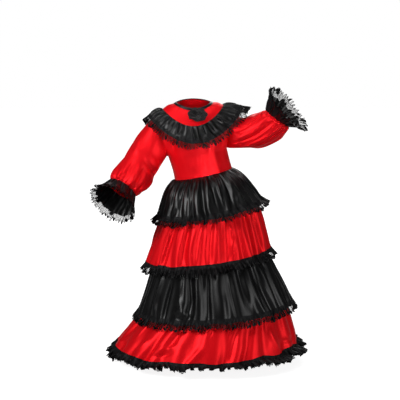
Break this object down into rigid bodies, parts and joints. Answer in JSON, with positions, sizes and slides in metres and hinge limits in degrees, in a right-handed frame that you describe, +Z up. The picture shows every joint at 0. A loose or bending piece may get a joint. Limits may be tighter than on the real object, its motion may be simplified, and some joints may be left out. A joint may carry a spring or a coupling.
{
  "type": "flamenco dress",
  "caption": "Child's flamenco costume dress with gathered collar, full sleeves and a tiered, lace-edged skirt, held open as worn.",
  "frame": {"origin": "middle of the neck opening, level with the sides of the neck, where the wearer's shoulders carry the dress", "axes": "+Z up, +X towards the wearer's left, front of the dress towards -Y"},
  "size_m": [0.7468, 0.5834, 0.953],
  "materials": {
    "red_satin": "bright red polyester satin, soft sheen",
    "black_satin": "black polyester satin, soft sheen",
    "black_rosette": "gathered black satin and net, dull",
    "black_lace": "black machine lace, matt and partly see-through"
  },
  "bodies": {
    "root": {"yoke_front": "red_satin", "yoke_back_left": "red_satin", "yoke_back_right": "red_satin", "bodice_front": "red_satin", "bodice_back_left": "red_satin", "bodice_back_right": "red_satin", "back_placket": "red_satin", "sleeve_right": "red_satin", "sleeve_left": "red_satin", "tier_2_front": "red_satin", "tier_2_back": "red_satin", "tier_4_front": "red_satin", "tier_4_back": "red_satin", "neck_binding": "black_satin", "collar_flounce": "black_satin", "rosette": "black_rosette", "cuff_flounce_right": "black_satin", "cuff_flounce_left": "black_satin", "tier_1_front": "black_satin", "tier_1_back": "black_satin", "tier_3_front": "black_satin", "tier_3_back": "black_satin", "collar_lace": "black_lace", "cuff_lace_right": "black_lace", "cuff_lace_left": "black_lace", "lace_1": "black_lace", "lace_2": "black_lace", "lace_3": "black_lace", "hem_frill": "black_lace"}
  },
  "joints": []
}
